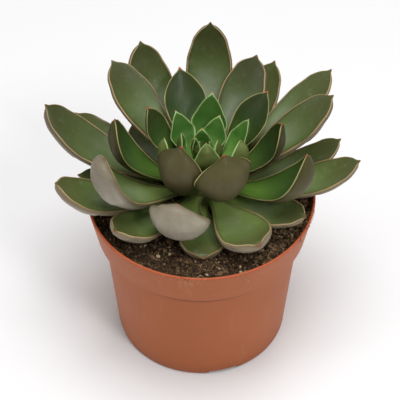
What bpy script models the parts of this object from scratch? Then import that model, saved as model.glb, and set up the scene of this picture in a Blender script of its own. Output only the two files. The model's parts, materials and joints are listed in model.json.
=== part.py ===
"""A rosette succulent growing in a 12 cm plastic nursery pot.

Frame: +Z up, -Y is the front, the origin lies on the supporting surface under the pot's axis.
The pot is a thin moulded shell, the soil fills it, the short stem stands in the soil, and each
leaf is a fleshy blade that runs from its foot on the stem to its tip and curls upwards. A leaf is
given by where its tip stands. Its foot's height, thickness and slope follow from rules, and
neighbouring leaves then give way to each other until they are clear.
"""

import math

import bmesh
import bpy
from mathutils import Matrix, Vector
from mathutils.bvhtree import BVHTree

MM = 0.001

# Pot, in millimetres
POT_HEIGHT = 94.5
RIM_RADIUS = 60.0
COLLAR_BOTTOM_RADIUS = 56.3
COLLAR_BOTTOM_Z = 74.0
SHOULDER_RADIUS = 52.3
SHOULDER_Z = 69.0
BASE_RADIUS = 46.8
WALL = 1.4
FLOOR_Z = 3.6
FOOT_WIDTH = 4.2
POT_SEGMENTS = 56
NOTCH_COUNT = 4
NOTCH_WIDTH = 18.0
NOTCH_HEIGHT = 2.6
NOTCH_AZIMUTH = -75.0
DRAIN_HOLES = 8
DRAIN_RADIUS = 3.6
DRAIN_RING = 33.0

# Soil
SOIL_TOP_Z = 88.4
GAP = 0.3
SOIL_SEGMENTS = 48

# Stem: (height, radius) from the root end up to the growing tip
STEM_PROFILE = (
    (72.0, 6.0),
    (84.0, 7.5),
    (92.0, 9.0),
    (100.0, 9.5),
    (106.0, 9.0),
    (112.0, 7.2),
    (117.0, 4.6),
    (120.0, 2.0),
)
STEM_TIP_Z = 120.5
STEM_SEGMENTS = 20
LEAF_GAP = 0.6

# Leaf stations: share of the length, half width of a pointed and of a blunt leaf, thickness
STATIONS = (
    (0.00, 0.26, 0.26, 0.36),
    (0.07, 0.28, 0.28, 0.42),
    (0.17, 0.37, 0.37, 0.58),
    (0.29, 0.55, 0.53, 0.79),
    (0.42, 0.77, 0.74, 0.94),
    (0.55, 0.94, 0.90, 1.00),
    (0.67, 1.00, 0.98, 0.97),
    (0.78, 0.94, 1.00, 0.85),
    (0.87, 0.73, 0.89, 0.65),
    (0.94, 0.41, 0.68, 0.42),
    (0.98, 0.15, 0.36, 0.20),
)
HALF_RING = 4
SPINE_STEPS = 40

# Rules that every leaf follows, from the oldest leaf to the youngest
LOWEST_FOOT_Z = 93.8
HIGHEST_FOOT_Z = 119.2
FOOT_CROWDING = 1.6
OLD_LATENESS = 2.1
YOUNG_LATENESS = 1.4
THINNEST = 1.3
THICKNESS_PER_WIDTH = 0.20

# How neighbouring leaves give way: clearance kept, most that a leaf may give, and step each round
CLEARANCE = 0.12
SETTLE_ROUNDS = 260
TURN_GIVE, TURN_STEP = 3.0, 0.10
TIP_GIVE, TIP_STEP = 2.0, 0.08
CURL_GIVE, CURL_STEP = 18.0, 0.6
FOOT_GIVE, FOOT_STEP = 2.0, 0.06
SLIMMEST, SLIMMING = 0.65, 0.996
NARROWEST, NARROWING = 0.88, 0.999
NEIGHBOUR_ANGLE = 75.0

# One row per leaf, oldest first. Angles in degrees, lengths in millimetres:
# direction of the tip, its distance from the axis, its height, curl, width,
# bluntness (0 pointed, 1 round)
LEAVES = (
    (-152, 51, 94, 5, 15, 0.3),
    (128, 60, 102, 25, 20, 0.0),
    (16, 77, 110, 45, 21, 0.0),
    (-88, 43, 93, 10, 23, 0.8),
    (174, 64, 102, 25, 19, 0.0),
    (-142, 57, 106, 60, 25, 0.3),
    (98, 58, 102, 30, 21, 0.0),
    (149, 77, 114, 65, 22, 0.0),
    (3, 81, 114, 60, 24, 0.0),
    (74, 58, 104, 30, 20, 0.0),
    (-25, 58, 103, 40, 23, 0.3),
    (57, 71, 133, 50, 22, 0.0),
    (-163, 75, 118, 90, 25, 0.2),
    (37, 83, 136, 45, 23, 0.0),
    (120, 69, 147, 55, 24, 0.0),
    (-55, 53, 103, 70, 28, 0.8),
    (165, 83, 134, 80, 24, 0.0),
    (24, 72, 137, 50, 23, 0.0),
    (84, 59, 162, 55, 24, 0.0),
    (-108, 38, 123, 145, 30, 0.5),
    (-156, 52, 140, 115, 27, 0.2),
    (130, 69, 139, 40, 23, 0.0),
    (62, 59, 143, 35, 24, 0.0),
    (180, 43, 146, 95, 22, 0.0),
    (-20, 55, 140, 115, 26, 0.2),
    (102, 50, 137, 35, 22, 0.0),
    (42, 44, 138, 45, 20, 0.0),
    (-122, 19, 143, 110, 27, 0.3),
    (4, 40, 141, 90, 20, 0.0),
    (150, 31, 140, 55, 16, 0.0),
    (-64, 25, 143, 125, 31, 0.3),
    (78, 26, 141, 45, 18, 0.0),
    (-156, 20, 141, 75, 14, 0.0),
    (-27, 21, 141, 85, 20, 0.1),
    (124, 23, 134, 45, 14, 0.0),
    (25, 26, 136, 60, 13, 0.0),
    (-74, 8, 137, 75, 13, 0.0),
    (60, 18, 134, 45, 13, 0.0),
    (170, 10, 135, 45, 9, 0.0),
    (-13, 8, 134, 45, 9, 0.0),
    (88, 7, 133, 30, 10, 0.0),
    (140, 4, 131, 20, 5, 0.0),
    (5, 4, 131, 20, 5, 0.0),
    (180, 1, 131, 5, 6, 0.0),
)
MIDDLE_LEAVES_FROM = 23
INNER_LEAVES_FROM = 31


def clear_scene():
    for obj in list(bpy.data.objects):
        bpy.data.objects.remove(obj, do_unlink=True)


def material(name, colour, roughness, metallic=0.0):
    made = bpy.data.materials.new(name)
    made.use_nodes = True
    shader = made.node_tree.nodes["Principled BSDF"]
    shader.inputs["Base Color"].default_value = (*colour, 1.0)
    shader.inputs["Roughness"].default_value = roughness
    shader.inputs["Metallic"].default_value = metallic
    made.diffuse_color = (*colour, 1.0)
    return made


def add_object(name, bm, mat, smooth_angle=35.0):
    """Turns a bmesh into a named object with outward faces and smooth shading."""
    bmesh.ops.recalc_face_normals(bm, faces=bm.faces)
    mesh = bpy.data.meshes.new(name)
    bm.to_mesh(mesh)
    bm.free()
    mesh.materials.append(mat)
    mesh.shade_smooth()
    mesh.set_sharp_from_angle(angle=math.radians(smooth_angle))
    obj = bpy.data.objects.new(name, mesh)
    bpy.context.scene.collection.objects.link(obj)
    return obj


def turned(profile, segments):
    """A closed solid turned about Z from (radius, z) points in millimetres, axis points at radius 0."""
    bm = bmesh.new()
    rings = []
    for radius, z in profile:
        if radius == 0.0:
            rings.append([bm.verts.new((0.0, 0.0, z * MM))])
            continue
        ring = []
        for i in range(segments):
            turn = 2.0 * math.pi * i / segments
            ring.append(bm.verts.new((radius * math.cos(turn) * MM, radius * math.sin(turn) * MM, z * MM)))
        rings.append(ring)
    for lower, upper in zip(rings, rings[1:]):
        bridge(bm, lower, upper)
    return bm


def bridge(bm, first, second):
    """Faces between two closed rings, or a fan where one of them is a single point."""
    count = max(len(first), len(second))
    for i in range(count):
        j = (i + 1) % count
        if len(first) == 1:
            bm.faces.new((first[0], second[i], second[j]))
        elif len(second) == 1:
            bm.faces.new((first[i], first[j], second[0]))
        else:
            bm.faces.new((first[i], first[j], second[j], second[i]))


def arc(centre_r, centre_z, radius, start, end, steps):
    """Points of a circular arc in the (r, z) plane, angles in degrees."""
    points = []
    for i in range(steps + 1):
        turn = math.radians(start + (end - start) * i / steps)
        points.append((centre_r + radius * math.cos(turn), centre_z + radius * math.sin(turn)))
    return points


def pot_profile():
    """The moulded shell: down the outside, across the foot, under the floor, and up the inside."""
    lip = WALL / 2.0
    outside = arc(RIM_RADIUS - lip, POT_HEIGHT - lip, lip, 90.0, 0.0, 3)
    outside.append((COLLAR_BOTTOM_RADIUS + 0.15, COLLAR_BOTTOM_Z + 1.0))
    outside.append((COLLAR_BOTTOM_RADIUS - 0.3, COLLAR_BOTTOM_Z))
    outside.append((SHOULDER_RADIUS + 0.5, SHOULDER_Z + 1.0))
    outside.append((SHOULDER_RADIUS, SHOULDER_Z))
    fillet = 2.0
    outside += arc(BASE_RADIUS - fillet, fillet, fillet, 0.0, -60.0, 3)
    outside.append((BASE_RADIUS - 1.5, 0.0))
    foot_inner = BASE_RADIUS - FOOT_WIDTH
    under = [(foot_inner, 0.0), (foot_inner - 0.6, FLOOR_Z - 0.3)]
    under += [(foot_inner - 1.2, FLOOR_Z), (0.0, FLOOR_Z)]
    floor_top = FLOOR_Z + WALL
    inside = [(0.0, floor_top), (BASE_RADIUS - WALL - 1.2, floor_top)]
    inside.append((BASE_RADIUS - WALL + 0.1, floor_top + 1.4))
    inside.append((SHOULDER_RADIUS - WALL, SHOULDER_Z))
    inside.append((COLLAR_BOTTOM_RADIUS - WALL - 0.3, COLLAR_BOTTOM_Z + 0.6))
    inside.append((RIM_RADIUS - WALL - 0.1, POT_HEIGHT - lip))
    inside.append((RIM_RADIUS - WALL + 0.15, POT_HEIGHT - 0.25))
    return outside, under, inside


def cutter(name, bm):
    obj = add_object(name, bm, pot_plastic)
    obj.hide_render = True
    obj.display_type = "WIRE"
    return obj


def cut(target, tool):
    modifier = target.modifiers.new(tool.name, "BOOLEAN")
    modifier.object = tool
    modifier.operation = "DIFFERENCE"
    modifier.solver = "EXACT"


def drain_cutter():
    """One tool with every drain hole: straight pegs that stand clear of each other."""
    bm = bmesh.new()
    places = [(0.0, 0.0)]
    for i in range(DRAIN_HOLES):
        turn = 2.0 * math.pi * (i + 0.5) / DRAIN_HOLES
        places.append((DRAIN_RING * math.cos(turn), DRAIN_RING * math.sin(turn)))
    for x, y in places:
        peg = {"radius1": DRAIN_RADIUS * MM, "radius2": DRAIN_RADIUS * MM, "depth": 6.0 * MM}
        made = bmesh.ops.create_cone(bm, cap_ends=True, segments=12, **peg)
        bmesh.ops.translate(bm, verts=made["verts"], vec=Vector((x, y, FLOOR_Z + WALL / 2.0)) * MM)
    return bm


def notch_cutter():
    """One tool with the drainage notches: blocks that reach across the foot ring."""
    bm = bmesh.new()
    for i in range(NOTCH_COUNT):
        turn = math.radians(NOTCH_AZIMUTH + 360.0 * i / NOTCH_COUNT)
        made = bmesh.ops.create_cube(bm, size=1.0)
        bmesh.ops.scale(bm, verts=made["verts"], vec=(12.0 * MM, NOTCH_WIDTH * MM, 2.0 * NOTCH_HEIGHT * MM))
        # the top edges lean inwards, as a moulded notch's do
        for vert in made["verts"]:
            if vert.co.z > 0.0:
                vert.co.y *= 0.86
        bmesh.ops.translate(bm, verts=made["verts"], vec=(BASE_RADIUS * MM, 0.0, 0.0))
        for vert in made["verts"]:
            x, y = vert.co.x, vert.co.y
            vert.co.x = x * math.cos(turn) - y * math.sin(turn)
            vert.co.y = x * math.sin(turn) + y * math.cos(turn)
    return bm


def build_pot():
    outside, under, inside = pot_profile()
    # one closed loop: floor centre below, foot, outside, lip, inside, floor centre above
    loop = list(reversed(under)) + list(reversed(outside)) + list(reversed(inside))
    pot = add_object("pot", turned(loop, POT_SEGMENTS), pot_plastic, 30.0)
    cut(pot, cutter("drain_holes", drain_cutter()))
    cut(pot, cutter("foot_notches", notch_cutter()))
    return pot


def soil_surface(radius, turn):
    """Height of the soil: slightly mounded round the stem, with soft uneven lumps."""
    mound = 0.8 * math.cos(math.pi * min(radius / 58.0, 1.0) / 2.0)
    lumps = 0.35 * math.sin(3.0 * turn + radius / 6.0) + 0.3 * math.sin(5.0 * turn - radius / 4.0 + 1.0)
    return SOIL_TOP_Z + mound + lumps * min(radius / 20.0, 1.0)


def build_soil():
    """The root ball fills the pot a hair short of its wall and has a well where the stem is rooted."""
    well = STEM_PROFILE[1][1] + 1.7
    bottom = FLOOR_Z + WALL + GAP
    base_r = BASE_RADIUS - WALL - 1.2 - GAP
    profile = [(0.0, bottom), (base_r, bottom), (base_r + 1.0, bottom + 1.6)]
    profile.append((SHOULDER_RADIUS - WALL - GAP, SHOULDER_Z + 0.5))
    profile.append((COLLAR_BOTTOM_RADIUS - WALL - 0.3 - GAP, COLLAR_BOTTOM_Z + 1.1))
    rim_r = 57.0
    top_radii = [rim_r, 54.0, 48.0, 41.0, 34.0, 27.0, 20.0, 14.0, well]
    profile += [(r, SOIL_TOP_Z) for r in top_radii]
    profile += [(STEM_PROFILE[0][1] + 1.0, STEM_PROFILE[0][0] - 1.0), (0.0, STEM_PROFILE[0][0] - 1.0)]
    bm = turned(profile, SOIL_SEGMENTS)
    for vert in bm.verts:
        if abs(vert.co.z - SOIL_TOP_Z * MM) < 0.01 * MM:
            radius = math.hypot(vert.co.x, vert.co.y) / MM
            turn = math.atan2(vert.co.y, vert.co.x)
            vert.co.z = soil_surface(radius, turn) * MM
    return add_object("soil", bm, potting_soil, 60.0)


def stem_radius(z):
    """Radius of the stem at a height, between the profile's points."""
    for (z0, r0), (z1, r1) in zip(STEM_PROFILE, STEM_PROFILE[1:]):
        if z <= z1:
            return r0 + (r1 - r0) * (z - z0) / (z1 - z0)
    return STEM_PROFILE[-1][1]


def build_stem():
    profile = [(0.0, STEM_PROFILE[0][0])]
    profile += [(radius, z) for z, radius in STEM_PROFILE]
    profile.append((0.0, STEM_TIP_Z))
    return add_object("stem", turned(profile, STEM_SEGMENTS), stem_tissue, 60.0)


class Leaf:
    """One leaf: the row's sizes, and what the rules make of them from its place in the order."""

    def __init__(self, order, row):
        self.turn, self.reach, self.tip_z, self.curl, self.width, self.blunt = row
        age = order / (len(LEAVES) - 1)
        self.foot_z = LOWEST_FOOT_Z + (HIGHEST_FOOT_Z - LOWEST_FOOT_Z) * age**FOOT_CROWDING
        self.lateness = OLD_LATENESS + (YOUNG_LATENESS - OLD_LATENESS) * age + self.blunt
        self.thickness = THINNEST + THICKNESS_PER_WIDTH * self.width
        self.asked = (self.turn, self.tip_z, self.curl, self.foot_z, self.thickness, self.width)

    def foot_radius(self):
        return stem_radius(self.foot_z) + LEAF_GAP

    def place(self):
        """Turn about Z and move to the foot on the stem, in millimetres."""
        turned_out = Matrix.Rotation(math.radians(self.turn), 4, "Z")
        return turned_out @ Matrix.Translation((self.foot_radius(), 0.0, self.foot_z))


def leaf_spine(leaf):
    """The middle line in the leaf's own frame, X outwards and Z up: points and slopes.

    The slope grows by the curl along the leaf. The line is then turned and scaled so that it
    runs from the foot to the tip."""
    bends = []
    for i in range(SPINE_STEPS):
        share = (i + 0.5) / SPINE_STEPS
        bends.append(math.radians(leaf.curl * share**leaf.lateness))
    out = sum(math.cos(bend) for bend in bends)
    up = sum(math.sin(bend) for bend in bends)
    wanted_out = leaf.reach - leaf.foot_radius()
    wanted_up = leaf.tip_z - leaf.foot_z
    rise = math.atan2(wanted_up, wanted_out) - math.atan2(up, out)
    step = math.hypot(wanted_out, wanted_up) / math.hypot(out, up)
    points = [Vector((0.0, 0.0, 0.0))]
    slopes = [rise + bend for bend in bends]
    for slope in slopes:
        points.append(points[-1] + Vector((math.cos(slope), 0.0, math.sin(slope))) * step)
    return points, slopes


def leaf_section(half_width, thickness, dish):
    """Points round a leaf: a dished upper face between two margins, and a rounded keel below."""
    section = []
    for k in range(HALF_RING + 1):
        u = math.cos(math.pi * k / HALF_RING)
        section.append((u * half_width, dish * u * u + 0.35 * thickness))
    for k in range(1, HALF_RING):
        u = math.cos(math.pi * k / HALF_RING)
        depth = thickness * (1.0 - abs(u) ** 2.2)
        section.append((-u * half_width, dish * u * u - depth + 0.35 * thickness))
    return section


def leaf_rings(leaf, swell=0.0):
    """Rings of points from the foot to the tip, in the leaf's own frame, with a pole at each end."""
    points, slopes = leaf_spine(leaf)
    cup = 0.10 + 0.20 * leaf.curl / 130.0
    across = Vector((0.0, -1.0, 0.0))
    rings = []
    for share, pointed_w, blunt_w, thick in STATIONS:
        place = share * SPINE_STEPS
        i = min(int(place), SPINE_STEPS - 1)
        centre = points[i].lerp(points[i + 1], place - i)
        above = Vector((-math.sin(slopes[i]), 0.0, math.cos(slopes[i])))
        half = 0.5 * leaf.width * (pointed_w + (blunt_w - pointed_w) * leaf.blunt)
        dish = cup * min(1.0, share * 2.2) * half
        section = leaf_section(half + swell, leaf.thickness * thick + 2.0 * swell, dish)
        rings.append([centre + across * u + above * (v + 0.3 * swell) for u, v in section])
    foot = sum(rings[0], Vector()) / len(rings[0])
    return [[foot], *rings, [points[-1]]]


def ring_faces(rings):
    """Corner numbers of the faces between neighbouring rings, for points listed ring by ring."""
    faces = []
    start = 0
    for first, second in zip(rings, rings[1:]):
        after = start + len(first)
        count = max(len(first), len(second))
        for i in range(count):
            j = (i + 1) % count
            corners = [start + i % len(first), start + j % len(first)]
            corners += [after + j % len(second), after + i % len(second)]
            faces.append(list(dict.fromkeys(corners)))
        start = after
    return faces


def leaf_tree(leaf):
    """The leaf with its clearance round it, as a tree that finds where it meets another one."""
    rings = leaf_rings(leaf, CLEARANCE)
    place = leaf.place()
    points = [place @ point for ring in rings for point in ring]
    return BVHTree.FromPolygons(points, ring_faces(rings)), points


def boxes_meet(points, others):
    for axis in range(3):
        if max(p[axis] for p in points) < min(p[axis] for p in others):
            return False
        if max(p[axis] for p in others) < min(p[axis] for p in points):
            return False
    return True


def within(value, asked, most):
    return max(asked - most, min(asked + most, value))


def give_way(leaf, up, aside):
    """Moves one leaf a small step: up or down, and aside (each 1, 0 or -1)."""
    turn, tip_z, curl, foot_z, thickness, width = leaf.asked
    leaf.turn = within(leaf.turn + TURN_STEP * aside, turn, TURN_GIVE)
    leaf.tip_z = within(leaf.tip_z + TIP_STEP * up, tip_z, TIP_GIVE)
    leaf.curl = within(leaf.curl - CURL_STEP * up, curl, CURL_GIVE)
    leaf.foot_z = within(leaf.foot_z + FOOT_STEP * up, foot_z, FOOT_GIVE)
    leaf.thickness = max(leaf.thickness * SLIMMING, thickness * SLIMMEST)
    leaf.width = max(leaf.width * NARROWING, width * NARROWEST)


def meetings(leaves, fixed):
    """Which leaves meet a fixed piece, and which pairs meet each other, as (younger, older)."""
    grown = [leaf_tree(leaf) for leaf in leaves]
    on_fixed = []
    pairs = []
    for young, (tree, points) in enumerate(grown):
        if any(tree.overlap(thing) for thing in fixed):
            on_fixed.append(young)
        for old in range(young):
            other, others = grown[old]
            if boxes_meet(points, others) and tree.overlap(other):
                pairs.append((young, old))
    return on_fixed, pairs


def settle(leaves, fixed):
    """Where two leaves meet, the younger one rises, the older one sinks and both turn apart."""
    for _ in range(SETTLE_ROUNDS):
        on_fixed, pairs = meetings(leaves, fixed)
        if not on_fixed and not pairs:
            return
        for lifted in on_fixed:
            give_way(leaves[lifted], 1.0, 0.0)
        for young, old in pairs:
            apart = (leaves[young].turn - leaves[old].turn + 180.0) % 360.0 - 180.0
            aside = math.copysign(1.0, apart) if abs(apart) < NEIGHBOUR_ANGLE else 0.0
            give_way(leaves[young], 1.0, aside)
            give_way(leaves[old], -1.0, -aside)
    print("leaves still meet after the last round:", on_fixed, pairs)


def build_leaf(number, leaf, mat):
    """One leaf as its own object, with its origin at its foot."""
    bm = bmesh.new()
    rings = leaf_rings(leaf)
    verts = [[bm.verts.new(point * MM) for point in ring] for ring in rings]
    for first, second in zip(verts, verts[1:]):
        bridge(bm, first, second)
    obj = add_object(f"leaf_{number:02d}", bm, mat, 50.0)
    turn = math.radians(leaf.turn)
    radius = leaf.foot_radius() * MM
    obj.location = (radius * math.cos(turn), radius * math.sin(turn), leaf.foot_z * MM)
    obj.rotation_euler = (0.0, 0.0, turn)
    return obj


def world_tree(obj):
    """A finished piece as a tree in millimetres."""
    graph = bpy.context.evaluated_depsgraph_get()
    mesh = obj.evaluated_get(graph).to_mesh()
    points = [vert.co / MM for vert in mesh.vertices]
    return BVHTree.FromPolygons(points, [list(face.vertices) for face in mesh.polygons])


clear_scene()
pot_plastic = material("pot_plastic", (0.40, 0.13, 0.065), 0.55)
potting_soil = material("potting_soil", (0.055, 0.040, 0.028), 0.95)
stem_tissue = material("stem_tissue", (0.20, 0.25, 0.08), 0.6)
leaf_outer = material("leaf_outer", (0.085, 0.13, 0.06), 0.42)
leaf_middle = material("leaf_middle", (0.07, 0.12, 0.045), 0.40)
leaf_inner = material("leaf_inner", (0.05, 0.16, 0.035), 0.40)

plant = bpy.data.objects.new("plant", None)
bpy.context.scene.collection.objects.link(plant)
pot = build_pot()
soil = build_soil()
stem = build_stem()
stem.parent = plant
bpy.context.view_layer.update()
leaves = [Leaf(order, row) for order, row in enumerate(LEAVES)]
settle(leaves, [world_tree(pot), world_tree(soil), world_tree(stem)])
for number, leaf in enumerate(leaves, start=1):
    shade = leaf_outer
    if number > MIDDLE_LEAVES_FROM:
        shade = leaf_middle
    if number > INNER_LEAVES_FROM:
        shade = leaf_inner
    build_leaf(number, leaf, shade).parent = plant
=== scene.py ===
# %% [markdown]
# # A rosette succulent in a plastic nursery pot
# The plant is a rosette: fleshy leaves stand in a tight spiral on a very short stem, the oldest
# ones low and outside, the youngest ones small and bright in the middle. It grows in peaty soil
# with sand and grit in it, in a thin moulded pot. The solid model already says where every leaf,
# the soil and the pot are. This script keeps those places and builds the finished surfaces there.

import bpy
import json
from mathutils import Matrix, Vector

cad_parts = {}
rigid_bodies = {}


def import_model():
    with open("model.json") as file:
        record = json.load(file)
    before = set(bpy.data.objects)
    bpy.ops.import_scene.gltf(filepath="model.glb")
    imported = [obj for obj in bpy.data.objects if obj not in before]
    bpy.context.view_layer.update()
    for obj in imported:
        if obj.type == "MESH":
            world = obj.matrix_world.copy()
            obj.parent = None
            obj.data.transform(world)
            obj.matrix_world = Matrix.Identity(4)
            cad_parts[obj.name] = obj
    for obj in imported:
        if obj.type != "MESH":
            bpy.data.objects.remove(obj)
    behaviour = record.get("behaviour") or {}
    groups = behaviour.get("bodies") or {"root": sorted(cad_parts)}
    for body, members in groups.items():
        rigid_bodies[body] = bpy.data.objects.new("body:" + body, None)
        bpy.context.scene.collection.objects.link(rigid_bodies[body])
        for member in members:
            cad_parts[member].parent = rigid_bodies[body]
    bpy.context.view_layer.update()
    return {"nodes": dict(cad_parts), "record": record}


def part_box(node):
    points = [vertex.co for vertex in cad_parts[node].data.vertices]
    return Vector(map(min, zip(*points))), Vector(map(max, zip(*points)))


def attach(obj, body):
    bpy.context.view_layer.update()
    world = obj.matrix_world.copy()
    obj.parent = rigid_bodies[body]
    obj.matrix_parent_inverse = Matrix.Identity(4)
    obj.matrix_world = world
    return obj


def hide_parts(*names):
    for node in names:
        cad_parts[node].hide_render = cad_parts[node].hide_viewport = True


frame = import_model()

# %% Modules and units
import json
import math
import random

import bmesh
import bpy
import numpy as np
from mathutils import Vector, noise

MM = 0.001
BODY = "root"
scene_items = bpy.context.scene.collection.objects
print("solid pieces to finish:", len(frame["nodes"]), "on the body", BODY)

# %% [markdown]
# ## Camera and studio
# A long lens far away keeps the pot's sides nearly parallel. The camera stands in front and looks
# down at 46 degrees, so it sees into the rosette and still sees the pot's front.

# %% Camera
CAMERA_ELEVATION = math.radians(46.0)
CAMERA_DISTANCE = 0.8
LENS_MM = 136.35
SENSOR_MM = 36.0
AIM = Vector((-0.00074, 0.0, 0.0893))
away = Vector((0.0, -math.cos(CAMERA_ELEVATION), math.sin(CAMERA_ELEVATION)))
lens = bpy.data.cameras.new("camera")
lens.lens = LENS_MM
lens.sensor_width = SENSOR_MM
camera = bpy.data.objects.new("camera", lens)
camera.location = AIM + away * CAMERA_DISTANCE
camera.rotation_euler = (-away).to_track_quat("-Z", "Y").to_euler()
scene_items.link(camera)
bpy.context.scene.camera = camera
print("camera at", tuple(round(value, 3) for value in camera.location))

# %% [markdown]
# The light is a white tent: an even white surround, a large soft lamp above and in front, and
# weaker ones at the sides. Large lamps make the broad pale sheen that a waxy leaf shows. The
# standard view transform keeps the colours as they are mixed.

# %% Lamps
# name: where it hangs in metres, its width in metres and its power in watts
LAMPS = {
    "lamp_top": ((0.05, -0.05, 1.40), 0.9, 13.0),
    "lamp_front": ((0.52, -0.74, 1.08), 0.30, 4.2),
    "lamp_left": ((-1.10, -0.20, 0.60), 0.7, 2.2),
    "lamp_right": ((1.15, -0.35, 0.50), 0.6, 1.4),
    "lamp_back": ((0.30, 1.10, 0.80), 0.7, 1.6),
}


def soft_lamp(name, place, size, watts):
    data = bpy.data.lights.new(name, "AREA")
    data.shape = "DISK"
    data.size = size
    data.energy = watts
    lamp = bpy.data.objects.new(name, data)
    lamp.location = place
    lamp.rotation_euler = (AIM - Vector(place)).to_track_quat("-Z", "Y").to_euler()
    scene_items.link(lamp)


for name, (place, size, watts) in LAMPS.items():
    soft_lamp(name, place, size, watts)
print(len(LAMPS), "lamps,", round(sum(row[2] for row in LAMPS.values()), 1), "watts together")

# %% White surround
TENT_LIGHT = 0.38
TENT_SEEN = 0.92

surround = bpy.data.worlds.new("surround")
surround.use_nodes = True
tent = surround.node_tree.nodes["Background"]
tent.inputs["Color"].default_value = (1.0, 1.0, 1.0, 1.0)
# the tent lights softly, but seen straight on past the floor's edge it is bright
seen = surround.node_tree.nodes.new("ShaderNodeLightPath").outputs["Is Camera Ray"]
glow = surround.node_tree.nodes.new("ShaderNodeMapRange")
glow.inputs["To Min"].default_value = TENT_LIGHT
glow.inputs["To Max"].default_value = TENT_SEEN
surround.node_tree.links.new(seen, glow.inputs["Value"])
surround.node_tree.links.new(glow.outputs["Result"], tent.inputs["Strength"])
bpy.context.scene.world = surround
bpy.context.scene.view_settings.view_transform = "Standard"
print("surround lights with", TENT_LIGHT, "and is seen as", TENT_SEEN)

# %% Floor
FLOOR_REACH = 6.0

floor_mesh = bpy.data.meshes.new("floor")
bm = bmesh.new()
bmesh.ops.create_grid(bm, x_segments=4, y_segments=4, size=FLOOR_REACH)
bm.to_mesh(floor_mesh)
bm.free()
floor = bpy.data.objects.new("floor", floor_mesh)
scene_items.link(floor)
print("floor reaches", FLOOR_REACH, "m each way")

# %% [markdown]
# ## Helpers for materials
# Every finish here is a small network of nodes. Short helpers keep the networks readable. The
# first adds a node and fills in its sockets. The others mix two colours by a mask, do a sum, fade
# from one value to another and make a noise pattern.

# %% Node helpers
def add_node(tree, kind, values=None, **settings):
    node = tree.nodes.new(kind)
    for key, value in settings.items():
        setattr(node, key, value)
    for socket, value in (values or {}).items():
        if isinstance(value, bpy.types.NodeSocket):
            tree.links.new(value, node.inputs[socket])
        else:
            node.inputs[socket].default_value = value
    return node


def blend_colours(tree, mask, first, second, how="MIX"):
    """Colour mix: first where the mask is 0, second where it is 1. The sockets go by number."""
    node = add_node(tree, "ShaderNodeMix", data_type="RGBA", blend_type=how)
    for index, value in ((0, mask), (6, first), (7, second)):
        if isinstance(value, bpy.types.NodeSocket):
            tree.links.new(value, node.inputs[index])
        else:
            node.inputs[index].default_value = value
    return node.outputs[2]


def calc(tree, operation, *values, clamp=False):
    """One step of arithmetic on numbers and sockets."""
    node = add_node(tree, "ShaderNodeMath", operation=operation, use_clamp=clamp)
    for index, value in enumerate(values):
        if isinstance(value, bpy.types.NodeSocket):
            tree.links.new(value, node.inputs[index])
        else:
            node.inputs[index].default_value = value
    return node.outputs[0]


def fade(tree, value, low, high):
    """0 below low, 1 above high and a smooth rise between. low above high turns it round."""
    node = add_node(tree, "ShaderNodeMapRange", interpolation_type="SMOOTHSTEP")
    flip = low > high
    low, high = min(low, high), max(low, high)
    tree.links.new(value, node.inputs["Value"])
    node.inputs["From Min"].default_value = low
    node.inputs["From Max"].default_value = high
    node.inputs["To Min"].default_value = 1.0 if flip else 0.0
    node.inputs["To Max"].default_value = 0.0 if flip else 1.0
    return node.outputs["Result"]


def speckle(tree, where, scale, detail=3.0, roughness=0.55):
    """Soft noise. A larger scale makes finer spots: at 100 they are about a centimetre apart."""
    node = add_node(tree, "ShaderNodeTexNoise", {"Vector": where, "Scale": scale})
    node.inputs["Detail"].default_value = detail
    node.inputs["Roughness"].default_value = roughness
    return node.outputs["Fac"]


def object_place(tree):
    return add_node(tree, "ShaderNodeTexCoord").outputs["Object"]


print("helpers for colour, sums, fades and noise are ready")

# %% [markdown]
# The next helpers start a material or a shared group, feed a height to the shader as bump, and
# turn everyday colour values into light. An effect that several materials share becomes a group
# with named inputs and outputs. Gloss values that are the same all over a surface go straight on
# the shader's own sockets.

# %% Group, material and colour helpers
def new_group(name, inputs, outputs):
    """An empty shader group: inputs and outputs are (name, socket type) pairs."""
    tree = bpy.data.node_groups.new(name, "ShaderNodeTree")
    for label, kind in inputs:
        tree.interface.new_socket(name=label, in_out="INPUT", socket_type=kind)
    for label, kind in outputs:
        tree.interface.new_socket(name=label, in_out="OUTPUT", socket_type=kind)
    return tree, tree.nodes.new("NodeGroupInput"), tree.nodes.new("NodeGroupOutput")


def new_material(name, roughness, **constants):
    """A material with its Principled shader. Constants are set on the shader's own sockets."""
    material = bpy.data.materials.new(name)
    material.use_nodes = True
    shader = material.node_tree.nodes["Principled BSDF"]
    shader.inputs["Roughness"].default_value = roughness
    for label, value in constants.items():
        shader.inputs[label.replace("_", " ")].default_value = value
    return material, material.node_tree, shader


def raised(tree, shader, height, depth, strength=1.0):
    """Feeds a Bump node, with its depth in metres, to the shader's normal."""
    bump = add_node(tree, "ShaderNodeBump", {"Height": height, "Distance": depth})
    bump.inputs["Strength"].default_value = strength
    tree.links.new(bump.outputs["Normal"], shader.inputs["Normal"])


def colour(red, green, blue):
    """A colour from its usual 0 to 255 values, as the linear light that shaders work in."""
    linear = []
    for value in (red, green, blue):
        share = value / 255.0
        linear.append(share / 12.92 if share <= 0.04045 else ((share + 0.055) / 1.055) ** 2.4)
    return (*linear, 1.0)


print("half grey as linear light:", round(colour(128, 128, 128)[0], 3))

# %% [markdown]
# The floor is matt paper. Two greys that hardly differ, mixed by broad noise, keep it from being
# one flat colour.

# %% Floor finish
FLOOR_GREY = colour(231, 231, 232)
FLOOR_PALE = colour(234, 234, 235)
FLOOR_CLOUD_SCALE = 6.0

FLOOR, tree, shader = new_material("studio_floor", 0.9)
cloud = speckle(tree, object_place(tree), FLOOR_CLOUD_SCALE)
tree.links.new(blend_colours(tree, cloud, FLOOR_GREY, FLOOR_PALE), shader.inputs["Base Color"])
floor_mesh.materials.append(FLOOR)
print("floor material:", FLOOR.name)

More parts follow.
